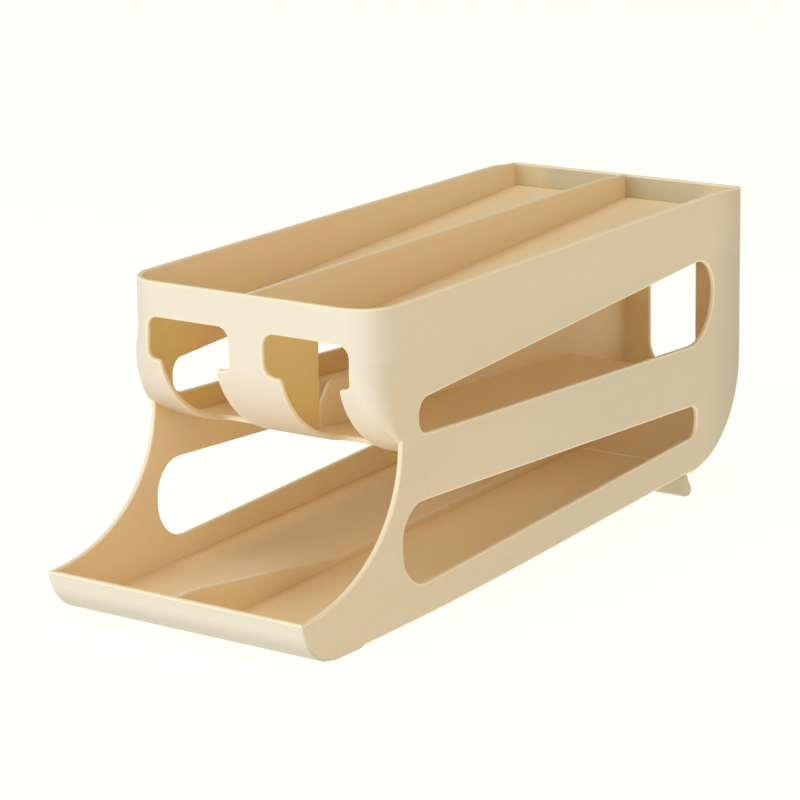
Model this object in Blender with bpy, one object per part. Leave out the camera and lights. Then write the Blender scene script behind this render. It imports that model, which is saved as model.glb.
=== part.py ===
"""Two-column rolling egg dispenser, moulded in cream plastic.

Lengths below are in millimetres in the body's own frame and are turned into
metres when a mesh is made. Body frame: x across the columns (the middle is 0),
y from front to back (0 is the outside of the front wall), z up (0 is the rim).
The whole body leans forward by LEAN, because the folded-out stand lifts its
rear, so the body hangs under one empty that carries the lean.
"""
import math

import bmesh
import bpy
from mathutils import Matrix, Vector

for old in list(bpy.data.objects):
    bpy.data.objects.remove(old, do_unlink=True)

# ---------------------------------------------------------------- dimensions
MM = 0.001
WIDTH = 130.0            # outside width over the side walls
LENGTH = 319.8           # front wall to rear wall, outside, at the rim
WALL = 2.3               # wall thickness of the mouldings
GAP = 0.3                # gap left between neighbouring mouldings
HALF = WIDTH / 2.0
INNER = HALF - WALL      # inside face of a side wall
FIT = INNER - GAP        # half width of a moulding between the side walls

# front wall: upright, then a quarter of an ellipse curving back under
FRONT_C = (60.0, -24.0)
FRONT_A = 60.0           # half axis along y
FRONT_B = 48.0           # half axis along z
FRONT_END_Y = 50.0
FRONT_CORNER = 18.0      # rounding of the upright front corners
FRONT_CORNER_END = 2.8   # rounding where the side wall's free edge starts
FRONT_SPLIT_Y = 17.0     # beyond this y the guide lies between the side walls

# rear wall: leaning slightly back, then bending forward under in one arc
REAR_RIM = -1.5          # its rim is a little lower than the side walls' rims
REAR_PATH = (((LENGTH, REAR_RIM), 0.0), ((323.2, -126.9), 48.3),
             ((272.7, -135.15), 0.0))
REAR_BEND_Z = -90.0      # where the arc begins, about
REAR_CORNER = 3.0
REAR_CORNER_END = 4.2
REAR_T_END = 3.9         # the guide gets thicker towards its foot

# scoop lip of the tray
LIP_R = 23.5
LIP_C = (-30.5, -113.0)
LIP_TOP = -115.4
LIP_CORNER = 2.6
LIP_SPLIT_Y = -31.5

# free front edge of the side wall, a superellipse quarter
EDGE_C = (-54.0, -57.0)
EDGE_A = 72.5
EDGE_B = 58.5
EDGE_N = 2.15

# ramps: (y, z of the upper face) at both ends, and the sheet thickness
TOP_RAMP = ((53.0, -26.4), (317.2, -12.9))
MID_RAMP = ((50.3, -69.2), (264.0, -81.5))
LOW_RAMP = ((-30.0, -134.7), (271.7, -131.2))
RAMP_T = 2.2

# side slots: corner points and corner radii
UPPER_SLOT = [((32.0, -43.2), 6.8), ((32.0, -58.2), 6.8),
              ((291.3, -71.9), 22.0), ((291.3, -29.9), 17.0)]
LOWER_SLOT = [((19.0, -86.0), 15.0), ((19.0, -123.6), 18.5),
              ((276.4, -116.5), 6.3), ((276.4, -101.5), 6.3)]

# front windows, each running down into a slot
WINDOW_X = (8.8, 51.4)
WINDOW_TOP = -15.4
WINDOW_BOTTOM = -34.6
WINDOW_R = 5.5
FRONT_SLOT_X = (16.7, 45.7)
FRONT_SLOT_END_Y = 46.5

# rear slots
REAR_SLOT_X = 27.4
REAR_SLOT_W = 25.6
REAR_SLOT_TOP = -29.0
REAR_SLOT_BOTTOM = -98.0

# dividers
DIVIDER_T = 2.0
MID_DIVIDER_H = 20.0
TRAY_RIB_H = 3.0

# front foot: a bar in the plane the rack stands on
LEAN = math.radians(1.712)
FOOT_Y = (-31.2, -11.6)
FOOT_Z = -137.58         # at the rear edge of the foot bar

# stand
STAND_HALF = 63.8
STAND_AXIS = (268.2, -136.8)
STAND_BARREL_R = 2.1
STAND_FRONT_Y = 266.1
STAND_BACK_Y = 274.0
STAND_FOOT_Y = (268.2, 271.4)
LUG_X = 38.0
LUG_W = 5.0
NOTCH_W = 6.2
RELIEF_X = 28.0          # the stand's barrel is cut away between the knuckles
PIN_R = 1.15
PIN_X = (29.5, 46.5)     # each pin, from the middle outwards
BORE_R = 1.2

# world placing of the body frame (floor under the foot, origin mid-length)
SHIFT_Y = -137.02
CREAM = (0.86, 0.76, 0.55, 1.0)
PIN_GREY = (0.62, 0.62, 0.60, 1.0)


# ---------------------------------------------------------------- helpers
def material(name, colour, rough, metal=0.0):
    m = bpy.data.materials.new(name)
    m.use_nodes = True
    b = m.node_tree.nodes["Principled BSDF"]
    b.inputs["Base Color"].default_value = colour
    b.inputs["Roughness"].default_value = rough
    b.inputs["Metallic"].default_value = metal
    return m


def link(name, bm, mat, parent, smooth_angle=math.radians(30)):
    bmesh.ops.recalc_face_normals(bm, faces=bm.faces)
    me = bpy.data.meshes.new(name)
    bm.to_mesh(me)
    bm.free()
    if mat is not None:
        me.materials.append(mat)
    me.shade_smooth()
    me.set_sharp_from_angle(angle=smooth_angle)
    ob = bpy.data.objects.new(name, me)
    bpy.context.scene.collection.objects.link(ob)
    ob.parent = parent
    return ob


def guide(ob):
    ob.hide_render = True
    ob.display_type = 'WIRE'
    return ob


def boolean(ob, other, operation):
    mod = ob.modifiers.new(other.name, 'BOOLEAN')
    mod.operation = operation
    mod.object = other
    return mod


def arc(cx, cz, r, a0, a1, n):
    return [(cx + r * math.cos(math.radians(a0 + (a1 - a0) * i / n)),
             cz + r * math.sin(math.radians(a0 + (a1 - a0) * i / n)))
            for i in range(n + 1)]


def rounded(corners, n=8):
    """Closed outline with each corner turned into an arc of its radius."""
    out = []
    count = len(corners)
    for i in range(count):
        (p, r) = corners[i]
        a = Vector(corners[i - 1][0]) - Vector(p)
        b = Vector(corners[(i + 1) % count][0]) - Vector(p)
        a.normalize()
        b.normalize()
        half = math.acos(max(-1.0, min(1.0, a.dot(b)))) / 2.0
        if r <= 0.0:
            out.append(tuple(p))
            continue
        d = r / math.tan(half)
        start = Vector(p) + a * d
        end = Vector(p) + b * d
        mid = (a + b).normalized()
        centre = Vector(p) + mid * (r / math.sin(half))
        v0 = start - centre
        v1 = end - centre
        total = v0.angle_signed(v1)
        for k in range(n + 1):
            t = -total * k / n
            c, s = math.cos(t), math.sin(t)
            out.append((centre.x + v0.x * c - v0.y * s,
                        centre.y + v0.x * s + v0.y * c))
    return out


def sampled(path, step=24.0, bend=7.0):
    """Path with filleted corners: (point, left-hand normal, run length)."""
    pts = []
    for i, (corner, r) in enumerate(path):
        c = Vector(corner)
        if r <= 0.0:
            pts.append(c)
            continue
        a = (Vector(path[i - 1][0]) - c).normalized()
        b = (Vector(path[i + 1][0]) - c).normalized()
        half = math.acos(a.dot(b)) / 2.0
        centre = c + (a + b).normalized() * (r / math.sin(half))
        v0 = c + a * (r / math.tan(half)) - centre
        v1 = c + b * (r / math.tan(half)) - centre
        turn = v1.angle_signed(v0)
        n = max(2, int(abs(math.degrees(turn)) / bend))
        for k in range(n + 1):
            w = turn * k / n
            pts.append(centre + Vector((v0.x * math.cos(w) - v0.y * math.sin(w),
                                        v0.x * math.sin(w) + v0.y * math.cos(w))))
    full = [pts[0]]
    for q in pts[1:]:
        gap = (q - full[-1]).length
        n = max(1, int(gap / step))
        start = full[-1].copy()
        for k in range(1, n + 1):
            full.append(start.lerp(q, k / n))
    out = []
    run = 0.0
    for i, q in enumerate(full):
        before = full[max(0, i - 1)]
        after = full[min(len(full) - 1, i + 1)]
        t = (after - before).normalized()
        if i:
            run += (q - full[i - 1]).length
        out.append(((q.x, q.y), (t.y, -t.x), run))
    return out


def plate(name, outline, holes, x0, x1, mat, parent):
    """Flat plate: an outline in (y, z) with holes, extruded from x0 to x1."""
    bm = bmesh.new()
    edges = []
    for loop in [outline] + holes:
        vs = [bm.verts.new((x0 * MM, y * MM, z * MM)) for (y, z) in loop]
        for i in range(len(vs)):
            edges.append(bm.edges.new((vs[i], vs[(i + 1) % len(vs)])))
    got = bmesh.ops.triangle_fill(bm, edges=edges, use_beauty=True)
    faces = [f for f in got["geom"] if isinstance(f, bmesh.types.BMFace)]
    ext = bmesh.ops.extrude_face_region(bm, geom=faces)
    moved = [v for v in ext["geom"] if isinstance(v, bmesh.types.BMVert)]
    bmesh.ops.translate(bm, verts=moved, vec=((x1 - x0) * MM, 0, 0))
    return link(name, bm, mat, parent)


def prism_y(name, outline, y0, y1, parent):
    """Cutter: an outline in (x, z) extruded from y0 to y1."""
    bm = bmesh.new()
    vs = [bm.verts.new((x * MM, y0 * MM, z * MM)) for (x, z) in outline]
    f = bm.faces.new(vs)
    ext = bmesh.ops.extrude_face_region(bm, geom=[f])
    moved = [v for v in ext["geom"] if isinstance(v, bmesh.types.BMVert)]
    bmesh.ops.translate(bm, verts=moved, vec=(0, (y1 - y0) * MM, 0))
    return guide(link(name, bm, None, parent))


def prism_z(name, outline, z0, z1, parent):
    """Cutter: an outline in (x, y) extruded from z0 to z1."""
    bm = bmesh.new()
    f = bm.faces.new([bm.verts.new((x * MM, y * MM, z0 * MM))
                      for (x, y) in outline])
    ext = bmesh.ops.extrude_face_region(bm, geom=[f])
    moved = [v for v in ext["geom"] if isinstance(v, bmesh.types.BMVert)]
    bmesh.ops.translate(bm, verts=moved, vec=(0, 0, (z1 - z0) * MM))
    return guide(link(name, bm, None, parent))


def ring(row, n_arc=6):
    """Closed cross-section of a bent sheet with wrapped side edges."""
    (py, pz), (ny, nz), hw, rad, t = row
    outer = []
    inner = []
    wrap = rad > t
    for k in range(n_arc + 1):
        a = math.radians(90.0 * k / n_arc)
        outer.append((hw - rad + rad * math.cos(a), rad - rad * math.sin(a)))
        if wrap:
            ri = rad - t
            inner.append((hw - rad + ri * math.cos(a), rad - ri * math.sin(a)))
        else:
            inner.append((hw - 0.02 * k, t))
    pts = outer + [(-x, o) for (x, o) in reversed(outer)]
    back = [(-x, o) for (x, o) in inner] + list(reversed(inner))
    return [Vector((x * MM, (py + ny * o) * MM, (pz + nz * o) * MM))
            for (x, o) in pts + back]


def bent_sheet(name, rows, mat, parent):
    bm = bmesh.new()
    rings = [[bm.verts.new(p) for p in ring(r)] for r in rows]
    n = len(rings[0])
    half = n // 2
    for a, b in zip(rings, rings[1:]):
        for i in range(n):
            j = (i + 1) % n
            bm.faces.new((a[i], a[j], b[j], b[i]))
    for cap in (rings[0], rings[-1]):
        for i in range(half - 1):
            bm.faces.new((cap[i], cap[i + 1], cap[n - 2 - i], cap[n - 1 - i]))
    return link(name, bm, mat, parent)


def box(name, x0, x1, y0, y1, z0, z1, parent, shear=0.0):
    """Block whose bottom and top slope by shear per millimetre of y."""
    bm = bmesh.new()
    vs = []
    for x in (x0, x1):
        for y in (y0, y1):
            for z in (z0, z1):
                vs.append(bm.verts.new((x * MM, y * MM,
                                        (z + shear * (y - y0)) * MM)))
    for f in ((0, 1, 3, 2), (4, 6, 7, 5), (0, 4, 5, 1), (2, 3, 7, 6),
              (0, 2, 6, 4), (1, 5, 7, 3)):
        bm.faces.new([vs[i] for i in f])
    return guide(link(name, bm, None, parent))


def rod(name, x0, x1, y, z, r, n, parent, mat=None):
    bm = bmesh.new()
    a, b = [], []
    for i in range(n):
        t = 2.0 * math.pi * (i + 0.5) / n
        p = ((y + r * math.cos(t)) * MM, (z + r * math.sin(t)) * MM)
        a.append(bm.verts.new((x0 * MM, p[0], p[1])))
        b.append(bm.verts.new((x1 * MM, p[0], p[1])))
    bm.faces.new(a)
    bm.faces.new(b)
    for i in range(n):
        j = (i + 1) % n
        bm.faces.new((a[i], a[j], b[j], b[i]))
    return link(name, bm, mat, parent)


# ---------------------------------------------------------------- the frame
body = bpy.data.objects.new("rack_stance", None)
bpy.context.scene.collection.objects.link(body)
foot_drop = -FOOT_Y[1] * math.sin(LEAN) - FOOT_Z * math.cos(LEAN)
body.rotation_euler = (LEAN, 0.0, 0.0)
body.location = (0.0, SHIFT_Y * MM, foot_drop * MM)

# ---------------------------------------------------------------- profiles
# each profile row is (outer point, inward normal, half width, corner, wall)
def front_point(y):
    """Outer point and inward normal of the front guide at depth y."""
    c = (FRONT_C[0] - y) / FRONT_A
    q = math.sqrt(max(0.0, 1.0 - c * c))
    n = Vector((c / FRONT_A, q / FRONT_B)).normalized()
    return (y, FRONT_C[1] - FRONT_B * q), (n.x, n.y)


rows_front = []
for z in (0.0, -8.0, -16.0, FRONT_C[1]):
    rows_front.append(((0.0, z), (1.0, 0.0), HALF, FRONT_CORNER, WALL))
split = math.acos((FRONT_C[0] - FRONT_SPLIT_Y) / FRONT_A)
finish = math.acos((FRONT_C[0] - FRONT_END_Y) / FRONT_A)
N_A = 11
for i in range(1, N_A + 1):
    t = split * i / N_A
    point, normal = front_point(FRONT_C[0] - FRONT_A * math.cos(t))
    rad = FRONT_CORNER + (FRONT_CORNER_END - FRONT_CORNER) * i / N_A
    rows_front.append((point, normal, HALF, rad, WALL))
front_wrap_count = len(rows_front)
N_B = 9
first = split + math.radians(0.2)
for i in range(0, N_B + 1):
    t = first + (finish - first) * i / N_B
    point, normal = front_point(FRONT_C[0] - FRONT_A * math.cos(t))
    rows_front.append((point, normal, FIT, 0.6, WALL))

rear_path = sampled(REAR_PATH)
rows_rear = []
total = rear_path[-1][2]
for (py, pz), (ny, nz), run in rear_path:
    f = max(0.0, min(1.0, (-pz + REAR_BEND_Z) / (134.0 + REAR_BEND_Z)))
    rows_rear.append(((py, pz), (ny, nz), HALF,
                      REAR_CORNER + (REAR_CORNER_END - REAR_CORNER) * f,
                      WALL + (REAR_T_END - WALL) * f))

rows_tray = []
lip_a0 = math.degrees(math.asin((LIP_C[1] - LIP_TOP) / LIP_R))
lip_a1 = math.degrees(math.acos((LIP_C[0] - LIP_SPLIT_Y) / LIP_R))
N_L = 12
for i in range(N_L + 1):
    a = math.radians(180.0 + lip_a0 + (lip_a1 - lip_a0) * i / N_L)
    c, s = math.cos(a), math.sin(a)
    rows_tray.append(((LIP_C[0] + LIP_R * c, LIP_C[1] + LIP_R * s),
                      (-c, -s), HALF, LIP_CORNER, WALL))
tray_wrap_count = len(rows_tray)
slope_low = (LOW_RAMP[1][1] - LOW_RAMP[0][1]) / (LOW_RAMP[1][0] - LOW_RAMP[0][0])
for y in (LIP_SPLIT_Y + 0.5, -30.0, 0.0, 60.0, 120.0, 180.0, 240.0,
          LOW_RAMP[1][0]):
    z_top = LOW_RAMP[0][1] + slope_low * (y - LOW_RAMP[0][0])
    t = RAMP_T
    rows_tray.append(((y, z_top - t), (0.0, 1.0), FIT, 0.6, t))


def edge_point(t):
    """Point on the free front edge, t from 0 (top) to 90 (lip)."""
    c = max(0.0, math.cos(math.radians(t)))
    s = max(0.0, math.sin(math.radians(t)))
    return (EDGE_C[0] + EDGE_A * c ** (2.0 / EDGE_N),
            EDGE_C[1] - EDGE_B * s ** (2.0 / EDGE_N))


def offset(row, extra=GAP):
    (py, pz), (ny, nz), _, rad, _ = row
    return (py + ny * (rad + extra), pz + nz * (rad + extra))


# outline of a side wall in (y, z), running down the front first
outline = []
for r in rows_front[:front_wrap_count]:
    outline.append(offset(r))
last = rows_front[front_wrap_count - 1]
tangent = Vector((-last[1][1], last[1][0]))
if tangent.y > 0:
    tangent = -tangent
inner_corner = Vector(offset(last)) + tangent * GAP
outer_corner = Vector(last[0]) + tangent * (GAP + 0.2)
outline.append(tuple(inner_corner))
outline.append(tuple(outer_corner))
for k in range(0, 25):
    t = 90.0 * (k + 1) / 25.0
    y, z = edge_point(t)
    if z < outer_corner.y - 0.6 and y > LIP_C[0] - LIP_R + LIP_CORNER + GAP + 0.4:
        outline.append((y, z))
lip_rows = rows_tray[:tray_wrap_count]
outline.append((offset(lip_rows[0])[0], LIP_TOP + 0.0))
for r in lip_rows[1:]:
    outline.append(offset(r))
end_row = lip_rows[-1]
tangent = Vector((-end_row[1][1], end_row[1][0]))
if tangent.x < 0:
    tangent = -tangent
outline.append(tuple(Vector(offset(end_row)) + tangent * GAP))
foot_slope = -math.tan(LEAN)
foot_front = FOOT_Z - foot_slope * (FOOT_Y[1] - FOOT_Y[0])
outline.append((FOOT_Y[0] + 0.25, foot_front))
outline.append((FOOT_Y[1], FOOT_Z))
outline.append((FOOT_Y[1] + 1.4, -136.85))
outline += [(5.0, -137.2), (20.0, -137.4), (40.0, -137.65), (62.0, -137.6),
            (105.0, -137.2), (140.0, -136.5),
            (180.0, -135.6), (220.0, -134.8), (250.0, -134.2), (262.0, -134.1),
            (270.9, -134.1)]
rear_rows = list(reversed(rows_rear))
foot_tangent = Vector((-rear_rows[0][1][1], rear_rows[0][1][0])) * 0.35
outline.append(tuple(Vector(rear_rows[0][0]) + foot_tangent))
outline.append(tuple(Vector(offset(rear_rows[0])) + foot_tangent))
for r in rear_rows:
    outline.append(offset(r))
outline += [(309.0, REAR_RIM * 0.72), (303.0, REAR_RIM * 0.28), (296.0, 0.0)]


# ---------------------------------------------------------------- materials
m_wall = material("cream_wall", CREAM, 0.42)
m_ramp = material("cream_ramp", CREAM, 0.45)
m_stand = material("cream_stand", CREAM, 0.48)

# ---------------------------------------------------------------- side walls
holes = [rounded(UPPER_SLOT, 10), rounded(LOWER_SLOT, 10)]
top_shear = (TOP_RAMP[1][1] - TOP_RAMP[0][1]) / (TOP_RAMP[1][0] - TOP_RAMP[0][0])
mid_shear = (MID_RAMP[1][1] - MID_RAMP[0][1]) / (MID_RAMP[1][0] - MID_RAMP[0][0])
LEDGE_W, LEDGE_H = 1.8, 1.6
for side, tag in ((1, "right"), (-1, "left")):
    wall = plate(tag + "_side_wall", outline, holes, side * INNER, side * HALF,
                 material("cream_" + tag + "_wall", CREAM, 0.42), body)
    xs = sorted((side * (INNER - LEDGE_W), side * (INNER + 1.0)))
    spots = ((62.0, 303.0, TOP_RAMP, top_shear, "top"),
             (60.0, 255.0, MID_RAMP, mid_shear, "middle"))
    for y0, y1, ramp, shear, level in spots:
        z = ramp[0][1] + shear * (y0 - ramp[0][0]) - RAMP_T - GAP
        ledge = box("guide_ledge_%s_%s" % (level, tag), xs[0], xs[1], y0, y1,
                    z - LEDGE_H, z, body, shear)
        boolean(wall, ledge, 'UNION')

# ---------------------------------------------------------------- front wall
front = bent_sheet("front_wall", rows_front, m_wall, body)
for side, tag in ((1, "right"), (-1, "left")):
    w0, w1 = WINDOW_X
    s0, s1 = FRONT_SLOT_X
    shape = [((w0, WINDOW_TOP), WINDOW_R),
             ((w1, WINDOW_TOP), WINDOW_R),
             ((w1, WINDOW_BOTTOM), 3.6),
             ((s1, WINDOW_BOTTOM), 1.8),
             ((s1, -76.0), 0.0),
             ((s0, -76.0), 0.0),
             ((s0, WINDOW_BOTTOM), 1.8),
             ((w0, WINDOW_BOTTOM), 5.0)]
    pts = [(side * x, z) for (x, z) in rounded(shape, 5)]
    cut = prism_y("guide_window_" + tag, pts, -6.0, FRONT_SLOT_END_Y, body)
    boolean(front, cut, 'DIFFERENCE')

# ---------------------------------------------------------------- rear wall
rear = bent_sheet("rear_wall", rows_rear,
                  material("cream_rear_wall", CREAM, 0.42), body)
for side, tag in ((1, "right"), (-1, "left")):
    h = REAR_SLOT_W / 2.0
    shape = [((REAR_SLOT_X - h, REAR_SLOT_TOP), h - 0.05),
             ((REAR_SLOT_X + h, REAR_SLOT_TOP), h - 0.05),
             ((REAR_SLOT_X + h, REAR_SLOT_BOTTOM), h - 0.05),
             ((REAR_SLOT_X - h, REAR_SLOT_BOTTOM), h - 0.05)]
    pts = [(side * x, z) for (x, z) in rounded(shape, 8)]
    cut = prism_y("guide_rear_slot_" + tag, pts, 302.0, 332.0, body)
    boolean(rear, cut, 'DIFFERENCE')


# ---------------------------------------------------------------- ramps
def ramp(name, ends, nose, tail, mat):
    """Sloping sheet with a turned-down nose and a turned-down tail."""
    (y0, z0), (y1, z1) = ends
    k = (z1 - z0) / (y1 - y0)
    pts = []
    if nose:
        pts += [(y0 + 0.2, z0 - 2.3), (y0, z0 - 1.4), (y0 + 0.5, z0 - 0.5),
                (y0 + 1.8, z0 + k * 1.8)]
    else:
        pts += [(y0, z0 - RAMP_T), (y0, z0)]
    if tail:
        pts += [(y1 - 1.8, z1 - k * 1.8), (y1 - 0.5, z1 - 0.5),
                (y1, z1 - 1.4), (y1 - 0.2, z1 - 2.3)]
    else:
        pts += [(y1, z1), (y1, z1 - RAMP_T)]
    return plate(name, pts, [], -FIT, FIT, mat, body)


top = ramp("top_ramp", TOP_RAMP, True, False, m_ramp)
corner_c = (HALF - REAR_CORNER, LENGTH - REAR_CORNER)
corner_r = REAR_CORNER - WALL - GAP - 0.05
for side, tag in ((1, "right"), (-1, "left")):
    pts = arc(corner_c[0], corner_c[1], corner_r, 0.0, 90.0, 8)
    pts += [(corner_c[0], LENGTH), (HALF + 1.0, LENGTH), (HALF + 1.0, corner_c[1])]
    cut = prism_z("guide_ramp_corner_" + tag, [(side * x, y) for (x, y) in pts],
                  -40.0, 5.0, body)
    boolean(top, cut, 'DIFFERENCE')
ramp("middle_ramp", MID_RAMP, False, True, material("cream_middle", CREAM, 0.45))

# ---------------------------------------------------------------- bottom tray
tray = bent_sheet("bottom_tray", rows_tray,
                  material("cream_tray", CREAM, 0.42), body)
foot = box("guide_foot", -FIT, FIT, FOOT_Y[0], FOOT_Y[1], foot_front,
           foot_front + 2.2, body, foot_slope)
boolean(tray, foot, 'UNION')
for side, tag in ((1, "right"), (-1, "left")):
    ay, az = STAND_AXIS
    r = 2.3
    pts = [(ay - r, -131.6), (ay - r, az)]
    pts += arc(ay, az, r, 180.0, 360.0, 8)[1:-1]
    pts += [(ay + 0.6, az + 0.4), (ay + 0.6, -131.6)]
    xs = (side * LUG_X - LUG_W / 2.0, side * LUG_X + LUG_W / 2.0)
    lug = guide(plate("guide_lug_" + tag, pts, [], xs[0], xs[1], None, body))
    boolean(tray, lug, 'UNION')
    bore = guide(rod("guide_lug_bore_" + tag, xs[0] - 1, xs[1] + 1, ay, az,
                     BORE_R, 20, body))
    boolean(tray, bore, 'DIFFERENCE')


# ---------------------------------------------------------------- dividers
def top_floor(y):
    return TOP_RAMP[0][1] + top_shear * (y - TOP_RAMP[0][0])


def mid_floor(y):
    return MID_RAMP[0][1] + mid_shear * (y - MID_RAMP[0][0])


def low_floor(y):
    return LOW_RAMP[0][1] + slope_low * (y - LOW_RAMP[0][0])


pts = [(WALL + GAP, 0.0), (WALL + GAP, FRONT_C[1])]
y_leg = TOP_RAMP[0][0] - GAP - 1.0
for i in range(1, 14):
    t = finish * i / 13.0
    (py, pz), (ny, nz) = front_point(FRONT_C[0] - FRONT_A * math.cos(t))
    pts.append((py + ny * (WALL + GAP), pz + nz * (WALL + GAP)))
pts[-1] = (pts[-1][0], max(pts[-1][1], MID_RAMP[0][1] + GAP))
pts += [(y_leg, pts[-1][1]),
        (TOP_RAMP[0][0] - GAP - 1.0, -32.0),
        (TOP_RAMP[0][0] - GAP, top_floor(53.0) + GAP),
        (LENGTH - WALL - GAP, top_floor(LENGTH - WALL - GAP) + GAP),
        (LENGTH - WALL - GAP, REAR_RIM), (309.0, REAR_RIM * 0.72),
        (303.0, REAR_RIM * 0.28), (296.0, 0.0)]
plate("top_divider", pts, [], -DIVIDER_T / 2, DIVIDER_T / 2,
      material("cream_top_divider", CREAM, 0.45), body)

ye = MID_RAMP[1][0]
yr = LENGTH - WALL - GAP
pts = [(53.6, mid_floor(53.6) + GAP), (53.6, mid_floor(53.6) + 12.0),
       (60.0, mid_floor(60.0) + MID_DIVIDER_H),
       (yr, mid_floor(ye) + MID_DIVIDER_H),
       (yr, mid_floor(ye) + MID_DIVIDER_H - 6.0)]
low_z = low_floor(LOW_RAMP[1][0]) + GAP
for (py, pz), (ny, nz), _, _, t in rows_rear:
    y, z = py + ny * (t + GAP), pz + nz * (t + GAP)
    if mid_floor(ye) > z and y > LOW_RAMP[1][0] + 1.0:
        pts.append((y, max(z, low_z)))
pts += [(ye + GAP, low_floor(ye) + GAP), (ye + GAP, mid_floor(ye) + GAP)]
plate("middle_divider", pts, [], -DIVIDER_T / 2, DIVIDER_T / 2,
      material("cream_middle_divider", CREAM, 0.45), body)

y_lip = LIP_C[0] - LIP_R + WALL + GAP
pts = [(y_lip + 0.15, LIP_TOP)]
rl = LIP_R - WALL - GAP
pts += arc(LIP_C[0], LIP_C[1], rl, 186.0, 266.0, 10)
pts += [(-28.0, low_floor(-28.0) + GAP), (ye - 0.3, low_floor(ye) + GAP),
        (ye - 0.3, low_floor(ye) + TRAY_RIB_H),
        (66.0, low_floor(66.0) + TRAY_RIB_H),
        (40.0, -127.3), (14.0, -122.9), (-10.5, -119.8), (-22.9, -118.0),
        (-33.0, -116.5), (-43.0, -115.5)]
plate("tray_divider", pts, [], -DIVIDER_T / 2, DIVIDER_T / 2,
      material("cream_tray_divider", CREAM, 0.45), body)

# ---------------------------------------------------------------- kickstand
ay, az = STAND_AXIS
section = [(STAND_FRONT_Y, az)]
section += arc(ay, az, STAND_BARREL_R, 180.0, 0.0, 8)[1:-1]
section += [(ay + STAND_BARREL_R, az), (ay + STAND_BARREL_R + 0.3, -137.8),
            (271.6, -139.2), (272.9, -140.6), (273.8, -142.2),
            (STAND_BACK_Y, -143.4), (273.6, -144.6), (272.8, -145.5)]
foot_a, foot_b = STAND_FOOT_Y
section += [(foot_b, FOOT_Z + foot_slope * (foot_b - FOOT_Y[1])),
            (foot_a, FOOT_Z + foot_slope * (foot_a - FOOT_Y[1])),
            (266.7, -145.0), (STAND_FRONT_Y, -144.0)]
hinge = bpy.data.objects.new("kickstand_hinge", None)
bpy.context.scene.collection.objects.link(hinge)
hinge.parent = body
hinge.location = (0.0, ay * MM, az * MM)
local = [(y - ay, z - az) for (y, z) in section]
stand = plate("kickstand", local, [], -STAND_HALF, STAND_HALF, m_stand, hinge)
relief = box("guide_relief", -RELIEF_X, RELIEF_X, -4.0, 4.0, -3.2, 4.0, hinge)
boolean(stand, relief, 'DIFFERENCE')
for side, tag in ((1, "right"), (-1, "left")):
    x = side * LUG_X
    notch = box("guide_notch_" + tag, x - NOTCH_W / 2, x + NOTCH_W / 2,
                -4.0, 4.0, -3.2, 4.0, hinge)
    boolean(stand, notch, 'DIFFERENCE')
    bore = guide(rod("guide_stand_bore_" + tag, side * (RELIEF_X - 1.0),
                     side * (PIN_X[1] + 0.6), 0.0, 0.0, BORE_R, 20, hinge))
    boolean(stand, bore, 'DIFFERENCE')
    rod("kickstand_pin_" + tag, side * PIN_X[0], side * PIN_X[1], ay, az,
        PIN_R, 20, body, material("pin_steel_" + tag, PIN_GREY, 0.35, 1.0))
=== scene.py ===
import bpy
import math
import numpy as np
from mathutils import Matrix, Vector
from mathutils.geometry import delaunay_2d_cdt


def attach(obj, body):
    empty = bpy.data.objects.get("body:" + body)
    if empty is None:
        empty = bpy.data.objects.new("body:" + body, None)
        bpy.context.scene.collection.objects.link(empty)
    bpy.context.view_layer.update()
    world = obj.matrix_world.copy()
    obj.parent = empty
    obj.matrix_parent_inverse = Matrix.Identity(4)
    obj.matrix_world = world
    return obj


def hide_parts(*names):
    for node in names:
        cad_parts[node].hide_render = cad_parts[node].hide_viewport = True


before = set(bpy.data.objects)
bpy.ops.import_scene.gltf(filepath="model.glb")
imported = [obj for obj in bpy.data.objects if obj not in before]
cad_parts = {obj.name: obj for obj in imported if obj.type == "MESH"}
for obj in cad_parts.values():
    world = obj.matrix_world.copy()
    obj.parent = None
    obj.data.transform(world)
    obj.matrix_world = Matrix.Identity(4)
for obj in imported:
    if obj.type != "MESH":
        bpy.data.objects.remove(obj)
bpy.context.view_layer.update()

# ------------------------------------------------------------------ dimensions
# millimetres in the body's own frame: x across, y from the front wall back,
# z up from the rim. BODY puts that frame into the row frame, in metres.
HALF = 65.0
WALL = 2.3
INNER = HALF - WALL
LENGTH = 319.8
EDGE_R = 0.85                 # rounding of the free edges of the sheet

FRONT_C, FRONT_A, FRONT_B = (60.0, -24.0), 60.0, 48.0
FRONT_CORNER, FRONT_CORNER_END = 18.0, 1.0
FRONT_SPLIT_Y, FRONT_END_Y = 17.0, 50.15
REAR_RIM = -1.5
REAR_PATH = (((LENGTH - 0.05, REAR_RIM), 0.0), ((323.05, -126.9), 48.3), ((272.7, -135.15), 0.0))
REAR_BEND_Z = -90.0
REAR_CORNER, REAR_CORNER_END, REAR_T_END = 3.0, 1.6, 3.9
LIP_C, LIP_R, LIP_TOP, LIP_CORNER = (-30.5, -113.0), 23.5, -115.4, 1.0
EDGE_C, EDGE_A, EDGE_B, EDGE_N = (-54.0, -57.0), 72.5, 58.5, 2.15
TOP_RAMP = ((53.0, -26.4), (317.5, -12.9))
MID_RAMP = ((50.3, -69.2), (264.0, -81.5))
LOW_RAMP = ((-30.0, -134.7), (271.7, -131.2))
RAMP_T = 2.2
UPPER_SLOT = [((32.0, -43.2), 6.8), ((32.0, -58.2), 6.8),
              ((291.3, -71.9), 22.0), ((291.3, -29.9), 17.0)]
LOWER_SLOT = [((19.0, -86.0), 15.0), ((19.0, -123.6), 18.5),
              ((276.4, -116.5), 6.3), ((276.4, -101.5), 6.3)]
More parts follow.
